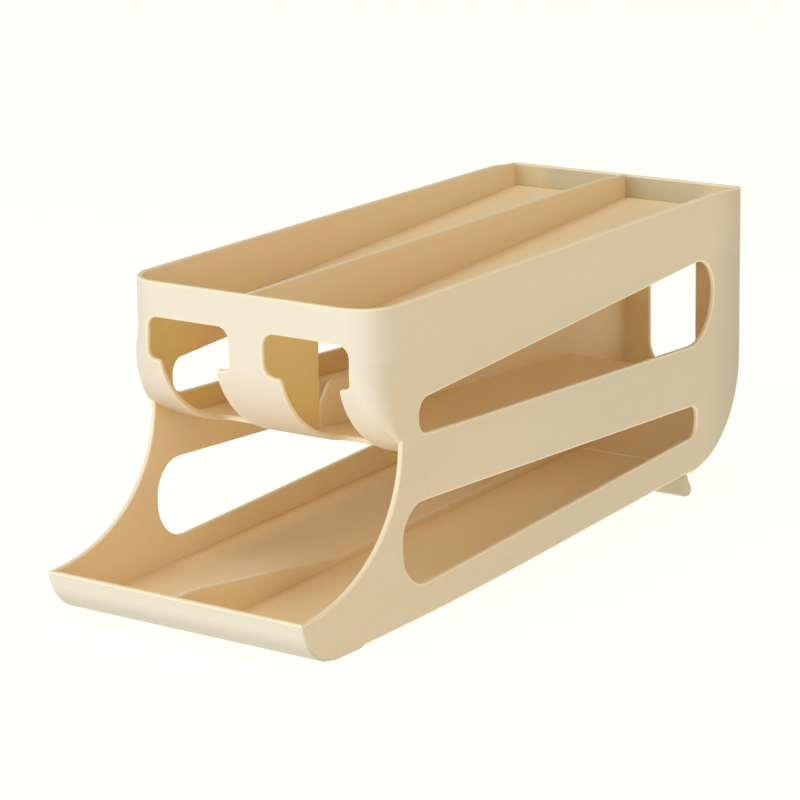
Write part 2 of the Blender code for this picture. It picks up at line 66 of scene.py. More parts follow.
WINDOW_X, WINDOW_TOP, WINDOW_BOTTOM = (8.8, 51.4), -15.4, -34.6
FRONT_SLOT_X, FRONT_SLOT_END_Y = (16.7, 45.7), 46.5
REAR_SLOT_X, REAR_SLOT_W, REAR_SLOT_TOP, REAR_SLOT_BOTTOM = 27.4, 25.6, -29.0, -98.0
LEAN = math.radians(1.712)
FOOT_Y, FOOT_Z = (-31.2, -11.6), -137.58
SHIFT_Y = -137.02
STAND_AXIS = (268.2, -136.8)

DROP = -FOOT_Y[1] * math.sin(LEAN) - FOOT_Z * math.cos(LEAN)
BODY = Matrix.Translation((0, SHIFT_Y / 1000, DROP / 1000)) @ Matrix.Rotation(LEAN, 4, 'X')
BODY_R = np.array(BODY.to_3x3())
BODY_T = np.array(BODY.translation) * 1000.0


# ------------------------------------------------------------------ surfaces
def unit(v):
    v = np.asarray(v, float)
    return v / np.maximum(np.linalg.norm(v, axis=-1, keepdims=True), 1e-12)


class Guide:
    """Sheet along a path in (y, z), wrapping round at its sides up to HALF.

    u runs across (arc length round the corners), s along the path. The rows
    give the outer face; the sheet's other face is a thickness further in."""

    def __init__(self, points, normals, radius, thick):
        p = np.array(points, float)
        step = np.linalg.norm(np.diff(p, axis=0), axis=1)
        self.s = np.concatenate([[0.0], np.cumsum(step)])
        self.p, self.n = p, unit(np.array(normals, float))
        self.r, self.t = np.array(radius, float), np.array(thick, float)
        self.end = float(self.s[-1])

    def row(self, s):
        s = np.asarray(s, float)
        y, z = np.interp(s, self.s, self.p[:, 0]), np.interp(s, self.s, self.p[:, 1])
        n = unit(np.stack([np.interp(s, self.s, self.n[:, 0]),
                           np.interp(s, self.s, self.n[:, 1])], -1))
        return y, z, n, np.interp(s, self.s, self.r), np.interp(s, self.s, self.t)

    def at(self, u, s):
        u, s = np.asarray(u, float), np.asarray(s, float)
        y, z, n, r, _ = self.row(s)
        flat = HALF - r
        phi = np.clip((np.abs(u) - flat) / r, 0.0, math.pi / 2)
        x = np.where(np.abs(u) <= flat, np.abs(u), flat + r * np.sin(phi)) * np.sign(u)
        o = r * (1.0 - np.cos(phi))
        return np.stack([x, y + n[..., 0] * o, z + n[..., 1] * o], -1)

    def at_inner(self, u, s):
        """The sheet's other face; a corner tighter than the sheet is sharp."""
        u, s = np.asarray(u, float), np.asarray(s, float)
        y, z, n, r, t = self.row(s)
        flat = HALF - r
        phi = np.clip((np.abs(u) - flat) / r, 0.0, math.pi / 2)
        bent = np.where(np.abs(u) <= flat, np.abs(u), flat + (INNER - flat) * np.sin(phi))
        x = np.where(flat > INNER, np.minimum(np.abs(u), INNER), bent) * np.sign(u)
        o = t + np.maximum(r - t, 0.0) * (1.0 - np.cos(phi))
        return np.stack([x, y + n[..., 0] * o, z + n[..., 1] * o], -1)

    def normal(self, u, s):
        e = 0.05
        r = self.row(s)[3]
        top = HALF - r + r * math.pi / 2
        ua, ub = np.clip(u - e, -top, top), np.clip(u + e, -top, top)
        du = self.at(ub, s) - self.at(ua, s)
        ds = self.at(u, np.clip(s + e, 0, self.end)) - self.at(u, np.clip(s - e, 0, self.end))
        n = unit(np.cross(ds, du))
        inward = self.row(s)[2]
        sign = -(n[..., 1] * inward[..., 0] + n[..., 2] * inward[..., 1])
        phi = (np.abs(u) - (HALF - r)) / r
        sideways = np.sign(u) * n[..., 0]
        flip = np.where(phi > 0.9, sideways, sign) < 0
        n = np.where(flip[..., None], -n, n)
        full = phi > math.pi / 2 - 0.02
        edge = np.stack([np.sign(u), np.zeros_like(u), np.zeros_like(u)], -1)
        return np.where(full[..., None], edge, n)

    def inner_normal(self, u, s, outer):
        """Normals of the other face, square to its own line along the path."""
        e = 0.3
        zero = np.zeros(np.shape(s))
        step = self.at_inner(zero, np.clip(s + e, 0, self.end)) - \
            self.at_inner(zero, np.clip(s - e, 0, self.end))
        n = unit(np.stack([zero, -step[..., 2], step[..., 1]], -1))
        inward = self.row(s)[2]
        flip = n[..., 1] * inward[..., 0] + n[..., 2] * inward[..., 1] < 0
        n = np.where(flip[..., None], -n, n)
        flat = np.abs(u) <= HALF - self.row(s)[3]
        return np.where(flat[..., None], n, -outer)

    def thick(self, u, s):
        _, _, _, r, t = self.row(s)
        phi = np.clip((np.abs(u) - (HALF - r)) / r, 0.0, math.pi / 2)
        return t * np.cos(phi) ** 2 + WALL * np.sin(phi) ** 2

    def reach(self, s):
        """Greatest u at s, where the corner has turned a full quarter."""
        r = self.row(s)[3]
        return HALF - r + r * math.pi / 2

    def u_of(self, x, s):
        """u of the place whose x is given."""
        r = float(self.row(s)[3])
        flat = HALF - r
        if abs(x) <= flat:
            return x
        return math.copysign(flat + r * math.asin(min(1.0, (abs(x) - flat) / r)), x)

    def s_of_z(self, z, u):
        """s of the place at u whose height is given, on the way down."""
        lo, hi = 0.0, self.end
        for _ in range(50):
            mid = (lo + hi) / 2
            if self.at(np.array(u), np.array(mid))[2] > z:
                lo = mid
            else:
                hi = mid
        return (lo + hi) / 2

    def s_of_y(self, y):
        return float(np.interp(y, self.p[:, 0], self.s)) if self.p[-1, 0] > self.p[0, 0] \
            else float(np.interp(-y, -self.p[:, 0], self.s))


class Flat:
    """Flat sheet: origin, two directions and its thickness against the normal."""

    def __init__(self, origin, eu, es, normal, thick):
        self.o, self.eu, self.es = (np.array(v, float) for v in (origin, eu, es))
        self.nn, self.tt = unit(np.array(normal, float)), float(thick)

    def at(self, u, s):
        u, s = np.asarray(u, float), np.asarray(s, float)
        return self.o + u[..., None] * self.eu + s[..., None] * self.es

    def normal(self, u, s):
        return np.broadcast_to(self.nn, np.shape(u) + (3,)).copy()

    def at_inner(self, u, s):
        return self.at(u, s) - self.nn * self.tt

    def inner_normal(self, u, s, outer):
        return -outer

    def thick(self, u, s):
        return np.full(np.shape(u), self.tt)


# ------------------------------------------------------------------ outlines
def line(a, b, step):
    """Points from a towards b, without b, about step apart."""
    a, b = np.array(a, float), np.array(b, float)
    n = max(1, int(math.ceil(np.linalg.norm(b - a) / step)))
    return [tuple(a + (b - a) * k / n) for k in range(n)]


def densify(pts, step, closed=True):
    out = []
    count = len(pts)
    for i in range(count if closed else count - 1):
        out += line(pts[i], pts[(i + 1) % count], step)
    if not closed:
        out.append(tuple(pts[-1]))
    return out


def fillet(corners, bend=9.0, closed=True):
    """Outline with each corner turned into an arc of its radius."""
    out = []
    count = len(corners)
    for i in range(count):
        p, r = np.array(corners[i][0], float), corners[i][1]
        if r <= 0.0 or (not closed and i in (0, count - 1)):
            out.append(tuple(p))
            continue
        a = unit(np.array(corners[i - 1][0], float) - p)
        b = unit(np.array(corners[(i + 1) % count][0], float) - p)
        half = math.acos(max(-1.0, min(1.0, float(a @ b)))) / 2.0
        if half > 1.55:
            out.append(tuple(p))
            continue
        centre = p + unit(a + b) * (r / math.sin(half))
        v0 = p + a * (r / math.tan(half)) - centre
        v1 = p + b * (r / math.tan(half)) - centre
        turn = math.atan2(v0[0] * v1[1] - v0[1] * v1[0], float(v0 @ v1))
        n = max(2, int(math.ceil(abs(math.degrees(turn)) / bend)))
        for k in range(n + 1):
            w = turn * k / n
            c, s = math.cos(w), math.sin(w)
            out.append((centre[0] + v0[0] * c - v0[1] * s, centre[1] + v0[0] * s + v0[1] * c))
    return out


def circle(cy, cz, r, n=32):
    return [(cy + r * math.cos(2 * math.pi * k / n), cz + r * math.sin(2 * math.pi * k / n))
            for k in range(n)]


class Loop:
    """Closed outline whose edges are free (f, rounded) or butt (b, flat)."""

    def __init__(self):
        self.pts, self.kinds = [], []

    def add(self, pts, kind):
        for p in pts:
            if self.pts and math.dist(self.pts[-1], p) < 1e-4:
                self.kinds[-1] = kind
                continue
            self.pts.append((float(p[0]), float(p[1])))
            self.kinds.append(kind)
        return self

    def close(self, positive):
        if math.dist(self.pts[0], self.pts[-1]) < 1e-4:
            self.pts.pop()
            self.kinds.pop()
        p = np.array(self.pts)
        q = np.roll(p, -1, axis=0)
        area = float(np.sum(p[:, 0] * q[:, 1] - q[:, 0] * p[:, 1])) / 2
        if (area > 0) != positive:
            n = len(self.pts)
            self.pts = self.pts[::-1]
            self.kinds = [self.kinds[(n - 2 - j) % n] for j in range(n)]
        return self


def free_loop(pts):
    return Loop().add(pts, 'f')


def inset(loop, er):
    """Each corner moved inwards by er from the free edges beside it."""
    p = np.array(loop.pts)
    n = len(p)
    out = p.copy()
    for i in range(n):
        e0, e1 = p[i] - p[i - 1], p[(i + 1) % n] - p[i]
        e0, e1 = unit(e0), unit(e1)
        n0, n1 = np.array((-e0[1], e0[0])), np.array((-e1[1], e1[0]))
        d0 = er if loop.kinds[i - 1] == 'f' else 0.0
        d1 = er if loop.kinds[i] == 'f' else 0.0
        if d0 == 0.0 and d1 == 0.0:
            continue
        cross = n0[0] * n1[1] - n0[1] * n1[0]
        if abs(cross) < 0.05:
            if d0 == d1:
                out[i] = p[i] + unit(n0 + n1) * d0
            else:
                out[i] = p[i] + (n0 if d0 else n1) * er
            continue
        out[i] = p[i] + np.array(((d0 * n1[1] - d1 * n0[1]) / cross,
                                  (n0[0] * d1 - n1[0] * d0) / cross))
    return out


def inside(points, loops):
    """Even-odd test of points against closed polygons."""
    x, y = points[:, 0], points[:, 1]
    odd = np.zeros(len(points), bool)
    for poly in loops:
        a, b = poly, np.roll(poly, -1, axis=0)
        for (x0, y0), (x1, y1) in zip(a, b):
            if y0 == y1:
                continue
            hit = ((y0 > y) != (y1 > y)) & (x < (x1 - x0) * (y - y0) / (y1 - y0) + x0)
            odd ^= hit
    return odd


def clearance(points, loops):
    best = np.full(len(points), 1e9)
    for poly in loops:
        a, b = poly, np.roll(poly, -1, axis=0)
        for p0, p1 in zip(a, b):
            d = p1 - p0
            ll = float(d @ d)
            t = np.clip(((points - p0) @ d) / ll, 0, 1) if ll > 0 else 0.0
            q = p0 + np.outer(t, d) if ll > 0 else p0
            best = np.minimum(best, np.linalg.norm(points - q, axis=1))
    return best


# ------------------------------------------------------------------ meshes
class Shell:
    """Collects faces with exact corner normals and turns them into an object."""

    def __init__(self, name):
        self.name, self.v, self.f, self.n, self.m = name, [], [], [], []

    def point(self, p):
        self.v.append(np.asarray(p, float))
        return len(self.v) - 1

    def face(self, idx, normals, mat=0):
        """Face turned so that it looks the way its normals do."""
        pts = [self.v[i] for i in idx]
        area = np.zeros(3)
        for k in range(1, len(pts) - 1):
            area += np.cross(pts[k] - pts[0], pts[k + 1] - pts[0])
        if np.linalg.norm(area) < 1e-7:
            return
        if normals is None:
            return
        mean = np.sum(normals, axis=0)
        if float(area @ mean) < 0:
            idx, normals = list(idx)[::-1], list(normals)[::-1]
        self.f.append(list(idx))
        self.n += [np.asarray(k, float) for k in normals]
        self.m.append(mat)

    def sheet(self, surf, loops, grid, er=EDGE_R, turns=5, mats=(0, 0, 0), keep=0.5):
        """Both faces, rounded free edges and flat butt edges of a sheet."""
        loops = [lp.close(i == 0) for i, lp in enumerate(loops)]
        ers = er if isinstance(er, (list, tuple)) else [er] * len(loops)
        ins = [inset(lp, e) for lp, e in zip(loops, ers)]
        grid = np.array(grid, float).reshape(-1, 2)
        if len(grid):
            grid = grid[inside(grid, ins)]
            grid = grid[clearance(grid, ins) > keep]
        co, edges, starts = [], [], []
        for poly in ins:
            starts.append(len(co))
            n = len(poly)
            edges += [(len(co) + k, len(co) + (k + 1) % n) for k in range(n)]
            co += [Vector(p) for p in poly]
        co += [Vector(p) for p in grid]
        out = delaunay_2d_cdt(co, edges, [], 0, 1e-6)
        uv = np.array([tuple(v) for v in out[0]])
        where = {}
        for k, origin in enumerate(out[3]):
            for o in origin:
                where[o] = k
        tri = np.array(out[2])
        mid = uv[tri].mean(axis=1)
        tri = tri[inside(mid, ins)]
        P, N, T = surf.at(uv[:, 0], uv[:, 1]), surf.normal(uv[:, 0], uv[:, 1]), \
            surf.thick(uv[:, 0], uv[:, 1])
        Q = surf.at_inner(uv[:, 0], uv[:, 1])
        M = surf.inner_normal(uv[:, 0], uv[:, 1], N)
        top = [self.point(p) for p in P]
        low = [self.point(q) for q in Q]
        for a, b, c in tri:
            self.face((top[a], top[b], top[c]), [N[a], N[b], N[c]], mats[0])
            self.face((low[a], low[b], low[c]), [M[a], M[b], M[c]], mats[1])
        for lp, poly, start, e in zip(loops, ins, starts, ers):
            n = len(lp.pts)
            orig = np.array(lp.pts)
            Po = surf.at(orig[:, 0], orig[:, 1])
            Qo = surf.at_inner(orig[:, 0], orig[:, 1])
            ring = []
            for i in range(n):
                k = where[start + i]
                free = 'f' in (lp.kinds[i], lp.kinds[i - 1])
                nn = N[k]
                if not free:
                    ring.append(([top[k], low[k]], None))
                    continue
                d0 = Po[i] - P[k]
                d0 = d0 - nn * float(d0 @ nn)
                d1 = Qo[i] - Q[k]
                d1 = d1 - nn * float(d1 @ nn)
                h0, h1 = unit(d0), unit(d1)
                ids, nor = [top[k]], [nn]
                depth = min(e, T[k] / 2 - 0.01)
                for j in range(1, turns + 1):
                    w = math.pi / 2 * j / turns
                    ids.append(self.point(P[k] + d0 * math.sin(w) - nn * depth * (1 - math.cos(w))))
                    nor.append(h0 * math.sin(w) + nn * math.cos(w))
                for j in range(turns, 0, -1):
                    w = math.pi / 2 * j / turns
                    ids.append(self.point(Q[k] + d1 * math.sin(w) + nn * depth * (1 - math.cos(w))))
                    nor.append(h1 * math.sin(w) - nn * math.cos(w))
                ids.append(low[k])
                nor.append(-nn)
                ring.append((ids, nor))
            for i in range(n):
                (a, na), (b, nb) = ring[i], ring[(i + 1) % n]
                if lp.kinds[i] == 'f':
                    for j in range(len(a) - 1):
                        self.face((a[j], b[j], b[j + 1], a[j + 1]),
                                  [na[j], nb[j], nb[j + 1], na[j + 1]], mats[2])
                else:
                    loop = a + b[::-1]
                    side = np.cross(self.v[b[0]] - self.v[a[0]], self.v[a[-1]] - self.v[a[0]])
                    away = surf_away(surf, orig, i)
                    if float(side @ away) < 0:
                        side = -side
                    side = unit(side)
                    self.face(loop, [side] * len(loop), mats[2])
        return self

    def done(self, body, nodes, mats):
        v = np.array(self.v) @ BODY_R.T + BODY_T
        me = bpy.data.meshes.new(self.name)
        me.from_pydata((v / 1000.0).tolist(), [], self.f)
        me.polygons.foreach_set("use_smooth", np.ones(len(self.f), bool))
        for m in mats:
            me.materials.append(m)
        me.polygons.foreach_set("material_index", np.array(self.m, np.int32))
        me.update()
        nor = unit(np.array(self.n) @ BODY_R.T)
        me.normals_split_custom_set(nor.tolist())
        ob = bpy.data.objects.new(self.name, me)
        bpy.context.scene.collection.objects.link(ob)
        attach(ob, body)
        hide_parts(*nodes)
        return ob


def surf_away(surf, orig, i):
    """Direction in space that leads out of the sheet across edge i."""
    n = len(orig)
    a, b = orig[i], orig[(i + 1) % n]
    e = b - a
    out = np.array((e[1], -e[0]))
    out = out / max(1e-9, np.linalg.norm(out)) * 0.02
    m = (a + b) / 2
    m2 = m - out
    p0 = surf.at(np.array([m[0]]), np.array([m[1]]))[0]
    p1 = surf.at(np.array([m2[0]]), np.array([m2[1]]))[0]
    return p0 - p1


# ------------------------------------------------------------------ paths
def front_rows():
    pts, nor, rad, thk = [], [], [], []
    for z in np.arange(0.0, 24.0, 0.5):
        pts.append((0.0, -z)); nor.append((1.0, 0.0)); rad.append(FRONT_CORNER); thk.append(WALL)
    split = math.acos((FRONT_C[0] - FRONT_SPLIT_Y) / FRONT_A)
    finish = math.acos((FRONT_C[0] - FRONT_END_Y) / FRONT_A)
    n = 320
    ts = sorted(set([finish * i / n for i in range(n + 1)] + [split]))
    for t in ts:
        c, q = math.cos(t), math.sin(t)
        pts.append((FRONT_C[0] - FRONT_A * c, FRONT_C[1] - FRONT_B * q))
        nor.append((c / FRONT_A, q / FRONT_B))
        f = min(1.0, t / split)
        rad.append(FRONT_CORNER + (FRONT_CORNER_END - FRONT_CORNER) * f)
        thk.append(WALL)
    return Guide(pts, nor, rad, thk)


def rear_rows():
    pts = []
    count = len(REAR_PATH)
    for i, (c, r) in enumerate(REAR_PATH):
        pts.append((c, r))
    poly = densify(fillet(pts, bend=1.5, closed=False), 1.5, closed=False)
    p = np.array(poly)
    t = np.gradient(p, axis=0)
    t = unit(t)
    k = np.ones(5) / 5
    nor = np.stack([t[:, 1], -t[:, 0]], -1)
    sm = np.stack([np.convolve(np.pad(nor[:, j], 2, 'edge'), k, 'valid') for j in (0, 1)], -1)
    f = np.clip((-p[:, 1] + REAR_BEND_Z) / (134.0 + REAR_BEND_Z), 0, 1)
    return Guide(p, sm, REAR_CORNER + (REAR_CORNER_END - REAR_CORNER) * f,
                 WALL + (REAR_T_END - WALL) * f)


def foot_plane(y):
    return FOOT_Z - math.tan(LEAN) * (y - FOOT_Y[1])


def tray_rows():
    """Lip, then the flat foot, then a step up to the underside of the floor."""
    pts, nor, thk = [], [], []
    a0 = math.asin((LIP_C[1] - LIP_TOP) / LIP_R)
    a1 = math.acos((LIP_C[0] + 34.0) / LIP_R)
    n = 110
    for i in range(n + 1):
        a = math.pi + a0 + (a1 - a0) * i / n
        pts.append((LIP_C[0] + LIP_R * math.cos(a), LIP_C[1] + LIP_R * math.sin(a)))
        nor.append((-math.cos(a), -math.sin(a)))
        thk.append(WALL)
    slope = (LOW_RAMP[1][1] - LOW_RAMP[0][1]) / (LOW_RAMP[1][0] - LOW_RAMP[0][0])
    floor_top = lambda y: LOW_RAMP[0][1] + slope * (y - LOW_RAMP[0][0])
    n0, n1 = nor[-1], (math.tan(LEAN), 1.0)
    for y in np.arange(-33.5, FOOT_Y[1] + 0.01, 0.5):
        w = max(0.0, min(1.0, (y + 34.0) / 6.0))
        w = w * w * (3 - 2 * w)
        run_on = pts[n][1] - 0.15 * (y + 34.0)
        z = run_on * (1 - w) + foot_plane(y) * w
        pts.append((y, z))
        nor.append((n0[0] * (1 - w) + n1[0] * w, n0[1] * (1 - w) + n1[1] * w))
        thk.append(WALL * (1 - w) + (floor_top(y) - z) * w)
    last = len(pts) - 1
    for y, f in ((FOOT_Y[1] + 0.4, 0.25), (FOOT_Y[1] + 0.9, 0.75), (FOOT_Y[1] + 1.4, 1.0)):
        z = foot_plane(y) * (1 - f) + (floor_top(y) - RAMP_T) * f
        pts.append((y, z))
        nor.append((0.0, 1.0))
        thk.append(floor_top(y) - z)
    for y in list(np.arange(-9.5, LOW_RAMP[1][0], 4.0)) + [LOW_RAMP[1][0]]:
        pts.append((y, floor_top(y) - RAMP_T))
        nor.append((-slope, 1.0))
        thk.append(RAMP_T)
    g = Guide(pts, nor, [LIP_CORNER] * len(pts), thk)
    g.split = float(g.s[last])
    return g


FRONT, REAR, TRAY = front_rows(), rear_rows(), tray_rows()
FRONT.split = FRONT.s_of_y(FRONT_SPLIT_Y)
PHI = [math.pi / 2 * k / 12 for k in range(13)]


def wrap_grid(g, s_values, flat_step=6.0, phis=PHI):
    """Grid places that follow the corners and run across the flat part."""
    out = []
    for s in s_values:
        r = float(g.row(s)[3])
        flat = HALF - r
        n = max(2, int(round(2 * flat / flat_step)))
        for k in range(n + 1):
            out.append((-flat + 2 * flat * k / n, s))
        for a in phis[1:]:
            out.append((flat + r * a, s))
            out.append((-flat - r * a, s))
    return out


def wrap_rim(g, s, flat_step=6.0):
    """Points across the sheet at s, from left to right."""
    r = float(g.row(s)[3])
    flat = HALF - r
    n = max(2, int(round(2 * flat / flat_step)))
    right = [(flat + r * a, s) for a in PHI[1:]]
    left = [(-u, s) for u, _ in right][::-1]
    return left + [(-flat + 2 * flat * k / n, s) for k in range(n + 1)] + right


def path_down(g, s_values, u=None, sign=1):
    return [(sign * (g.reach(s) if u is None else u), s) for s in s_values]


def rows_between(a, b, step):
    n = max(1, int(math.ceil((b - a) / step)))
    return [a + (b - a) * k / n for k in range(n + 1)]


# ------------------------------------------------------------------ materials
def srgb(r, g, b):
    def lin(c):
        c /= 255.0
        return c / 12.92 if c <= 0.04045 else ((c + 0.055) / 1.055) ** 2.4
    return (lin(r), lin(g), lin(b), 1.0)


def plastic(name, pale, warm, rough=(0.40, 0.52), grain=0.05, flow=(1.0, 0.22, 1.0), painted_zones=()):
    """Moulded satin plastic: faint flow clouds, fine speckle, orange peel, and painted_zones that multiply
    painted shade and painted light into the colour.
    """
    m = bpy.data.materials.new(name)
    m.use_nodes = True
    nt = m.node_tree
    N, L = nt.nodes, nt.links
    b = N["Principled BSDF"]
    co = N.new("ShaderNodeTexCoord")
    mp = N.new("ShaderNodeMapping")
    mp.inputs["Scale"].default_value = flow
    L.new(co.outputs["Object"], mp.inputs["Vector"])

    def noise(vec, scale, detail, rough_=0.5):
        n = N.new("ShaderNodeTexNoise")
        n.inputs["Scale"].default_value = scale
        n.inputs["Detail"].default_value = detail
        n.inputs["Roughness"].default_value = rough_
        L.new(vec, n.inputs["Vector"])
        return n.outputs["Fac"]

    def ramp(fac, a, b_):
        r = N.new("ShaderNodeMapRange")
        r.inputs["From Min"].default_value = 0.3
        r.inputs["From Max"].default_value = 0.7
        r.inputs["To Min"].default_value = a
        r.inputs["To Max"].default_value = b_
        L.new(fac, r.inputs["Value"])
        return r.outputs["Result"]

    cloud = noise(mp.outputs["Vector"], 26.0, 4.0, 0.55)
    speck = noise(co.outputs["Object"], 900.0, 2.0)
    mix = N.new("ShaderNodeMix")
    mix.data_type = 'RGBA'
    mix.inputs["A"].default_value = pale
    mix.inputs["B"].default_value = warm
    L.new(ramp(cloud, 0.1, 0.9), mix.inputs["Factor"])
    mix2 = N.new("ShaderNodeMix")
    mix2.data_type = 'RGBA'
    mix2.blend_type = 'MULTIPLY'
    mix2.inputs["B"].default_value = (0.93, 0.90, 0.84, 1.0)
    L.new(ramp(speck, 0.0, 0.35), mix2.inputs["Factor"])
    L.new(mix.outputs["Result"], mix2.inputs["A"])
    colour = mix2.outputs["Result"]
    # painted shade and painted light: each zone multiplies the colour by a tint inside a mask of object
    # coordinates; the zones stand in for shade on corners, under and behind parts, and for warm bounce light in
    # the drop gap
    sep = N.new("ShaderNodeSeparateXYZ")
    L.new(co.outputs["Object"], sep.inputs[0])
    for gates, tone in painted_zones:
        gate = None
        for axis, lo, hi, v0, v1 in gates:
            part = N.new("ShaderNodeMapRange")
            part.interpolation_type = 'SMOOTHSTEP'
            part.inputs["From Min"].default_value = lo
            part.inputs["From Max"].default_value = hi
            part.inputs["To Min"].default_value = v0
            part.inputs["To Max"].default_value = v1
            L.new(sep.outputs[axis], part.inputs["Value"])
            if gate is None:
                gate = part.outputs["Result"]
                continue
            times = N.new("ShaderNodeMath")
            times.operation = 'MULTIPLY'
            L.new(gate, times.inputs[0])
            L.new(part.outputs["Result"], times.inputs[1])
            gate = times.outputs[0]
        painted_mix = N.new("ShaderNodeMix")
        painted_mix.data_type = 'RGBA'
        painted_mix.blend_type = 'MULTIPLY'
        painted_mix.inputs["B"].default_value = tone
        L.new(gate, painted_mix.inputs["Factor"])
        L.new(colour, painted_mix.inputs["A"])
        colour = painted_mix.outputs["Result"]
    L.new(colour, b.inputs["Base Color"])
    rn = noise(co.outputs["Object"], 140.0, 3.0)
    L.new(ramp(rn, rough[0], rough[1]), b.inputs["Roughness"])
    peel = noise(co.outputs["Object"], 1500.0, 2.0)
    wave = noise(mp.outputs["Vector"], 60.0, 2.0)
    add = N.new("ShaderNodeMath")
    add.operation = 'MULTIPLY_ADD'
    add.inputs[1].default_value = 4.0
    L.new(wave, add.inputs[0])
    L.new(peel, add.inputs[2])
    bump = N.new("ShaderNodeBump")
    bump.inputs["Strength"].default_value = grain
    bump.inputs["Distance"].default_value = 0.0006
    L.new(add.outputs[0], bump.inputs["Height"])
    L.new(bump.outputs["Normal"], b.inputs["Normal"])
    b.inputs["IOR"].default_value = 1.47
    b.inputs["Specular IOR Level"].default_value = 0.5
    return m


def steel(name):
    """Drawn wire: fine rings along its length, slightly dulled."""
    m = bpy.data.materials.new(name)
    m.use_nodes = True
    nt = m.node_tree
    N, L = nt.nodes, nt.links
    b = N["Principled BSDF"]
    b.inputs["Metallic"].default_value = 1.0
    co = N.new("ShaderNodeTexCoord")
    mp = N.new("ShaderNodeMapping")
    mp.inputs["Scale"].default_value = (1.0, 12.0, 12.0)
    L.new(co.outputs["Object"], mp.inputs["Vector"])
    n = N.new("ShaderNodeTexNoise")
    n.inputs["Scale"].default_value = 300.0
    n.inputs["Detail"].default_value = 4.0
    L.new(mp.outputs["Vector"], n.inputs["Vector"])
    mix = N.new("ShaderNodeMix")
    mix.data_type = 'RGBA'
    mix.inputs["A"].default_value = (0.50, 0.50, 0.49, 1.0)
    mix.inputs["B"].default_value = (0.68, 0.68, 0.66, 1.0)
    L.new(n.outputs["Fac"], mix.inputs["Factor"])
    L.new(mix.outputs["Result"], b.inputs["Base Color"])
    r = N.new("ShaderNodeMapRange")
    r.inputs["To Min"].default_value = 0.22
    r.inputs["To Max"].default_value = 0.42
    L.new(n.outputs["Fac"], r.inputs["Value"])
    L.new(r.outputs["Result"], b.inputs["Roughness"])
    bump = N.new("ShaderNodeBump")
    bump.inputs["Strength"].default_value = 0.15
    bump.inputs["Distance"].default_value = 0.0002
    L.new(n.outputs["Fac"], bump.inputs["Height"])
    L.new(bump.outputs["Normal"], b.inputs["Normal"])
    return m


# painted shade: side walls darker and cooler over the last 34 mm towards the rear corner
REAR_PAINTED_SHADE = ([("Y", 0.150, 0.184, 0.0, 1.0)], (0.80, 0.82, 0.86, 1.0))
# painted shade: side walls cooler and greyer towards the rear and below the band under the rim
REAR_LOW_PAINTED_SHADE = ([("Y", -0.095, 0.060, 0.0, 1.0), ("Z", 0.104, 0.128, 1.0, 0.0)], (0.93, 0.975, 1.0, 1.0))
# painted light: warm orange bounce light on the side walls' inner faces in the drop gap behind the front wall
PAINTED_BOUNCE_IN_GAP = ([("Y", -0.084, -0.066, 1.0, 0.0), ("Z", 0.118, 0.130, 1.0, 0.0),
             ("Z", 0.066, 0.080, 0.0, 1.0)], (1.0, 0.93, 0.60, 1.0))
# painted shade: upper middle of the rear wall's inner face darker and cooler
REAR_UPPER_PAINTED_SHADE = ([("Z", 0.096, 0.116, 0.0, 1.0), ("X", 0.040, 0.050, 1.0, 0.35),
             ("X", -0.050, -0.040, 0.35, 1.0)], (0.72, 0.80, 0.90, 1.0))
# painted shade: front wall darker towards its left corner
LEFT_CORNER_PAINTED_SHADE = ([("X", -0.064, -0.044, 1.0, 0.0)], (0.86, 0.89, 0.90, 1.0))
# painted shade: front wall darker where its right corner turns to the side
RIGHT_CORNER_PAINTED_SHADE = ([("X", 0.055, 0.066, 0.0, 1.0)], (0.89, 0.86, 0.78, 1.0))
# painted shade: lower left of the front wall's curve darker
HEEL_PAINTED_SHADE = ([("X", -0.058, -0.028, 1.0, 0.0), ("Z", 0.080, 0.094, 1.0, 0.0)], (0.93, 0.87, 0.79, 1.0))
# painted shade: tray's outer face darker over its lowest 16 mm, underneath
UNDER_PAINTED_SHADE = ([("Z", 0.0065, 0.0165, 1.0, 0.0)], (0.76, 0.765, 0.745, 1.0))
CREAM = plastic("cream_plastic", (0.82, 0.67, 0.455, 1.0), (0.795, 0.635, 0.41, 1.0))
# painted light: a paler copy of the cream plastic for the front wall's outer face, standing in for the front
# light; its zones add painted shade at the corners and heel
FRONT_PAINTED_LIGHT = plastic("cream_plastic_front_painted_light", (0.85, 0.73, 0.58, 1.0), (0.83, 0.695, 0.535, 1.0),
               painted_zones=[LEFT_CORNER_PAINTED_SHADE, RIGHT_CORNER_PAINTED_SHADE, HEEL_PAINTED_SHADE])
# painted shade: a darker copy of the cream plastic for the side walls' outer faces, with more painted shade
# towards the rear
SIDE_PAINTED_SHADE = plastic("cream_plastic_side_painted_shade", (0.782, 0.626, 0.42, 1.0), (0.757, 0.592, 0.377, 1.0),
               painted_zones=[REAR_PAINTED_SHADE, REAR_LOW_PAINTED_SHADE])
# painted light: a brighter, more golden copy of the cream plastic for inner faces, ramps and dividers, standing
# in for warm bounce light inside
WARM_PAINTED_BOUNCE = plastic("cream_plastic_inside_painted_bounce", (0.97, 0.775, 0.485, 1.0), (0.95, 0.735, 0.43, 1.0))
# painted light: the golden inside colour plus painted warm bounce light in the drop gap, on the side walls' inner
# faces, rails and top divider
DROP_GAP_PAINTED_BOUNCE = plastic("cream_plastic_drop_gap_painted_bounce", (0.97, 0.775, 0.485, 1.0), (0.95, 0.735, 0.43, 1.0),
              painted_zones=[PAINTED_BOUNCE_IN_GAP])
